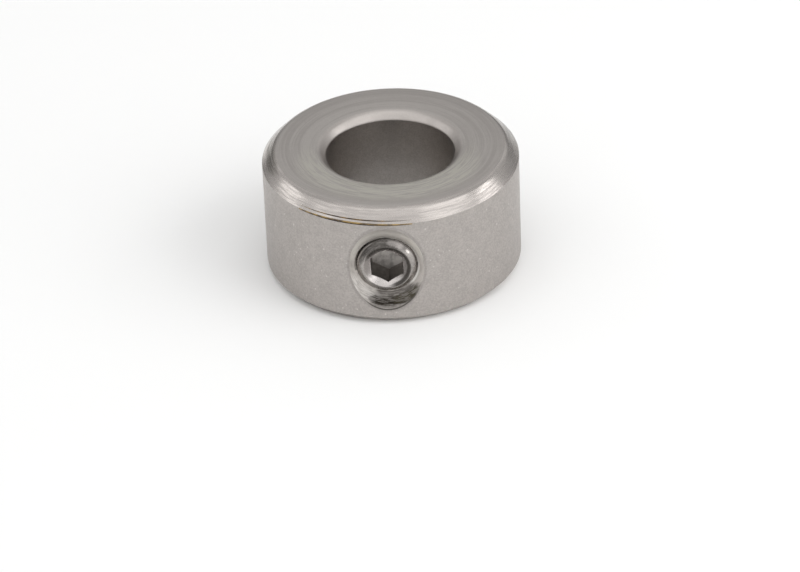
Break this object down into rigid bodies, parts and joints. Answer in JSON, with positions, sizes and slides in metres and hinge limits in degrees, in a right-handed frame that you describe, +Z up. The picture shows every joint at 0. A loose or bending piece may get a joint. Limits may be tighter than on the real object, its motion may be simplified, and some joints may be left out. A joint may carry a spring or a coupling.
{
  "type": "shaft collar",
  "caption": "Turned steel ring that slides over a shaft and is clamped in place by a radial hexagon-socket set screw, to stop parts moving along the shaft.",
  "frame": {"origin": "on the bore axis, in the plane of the lower end face that the ring stands on", "axes": "+Z up along the bore axis; -Y out through the set screw's socket; +X to the right seen from the screw"},
  "size_m": [0.02, 0.02, 0.01],
  "materials": {
    "ring_steel": "matt, finely tumbled outside; turned end faces and bright turned chamfers",
    "screw_steel": "bright rolled thread and pressed socket"
  },
  "bodies": {
    "collar": {"collar_ring": "ring_steel"},
    "screw": {"set_screw": "screw_steel"}
  },
  "joints": [
    {"name": "screw_travel", "type": "slide", "parent": "collar", "child": "screw", "axis": [0, 1, 0], "range_m": [-0.0019, 0.00175]}
  ]
}
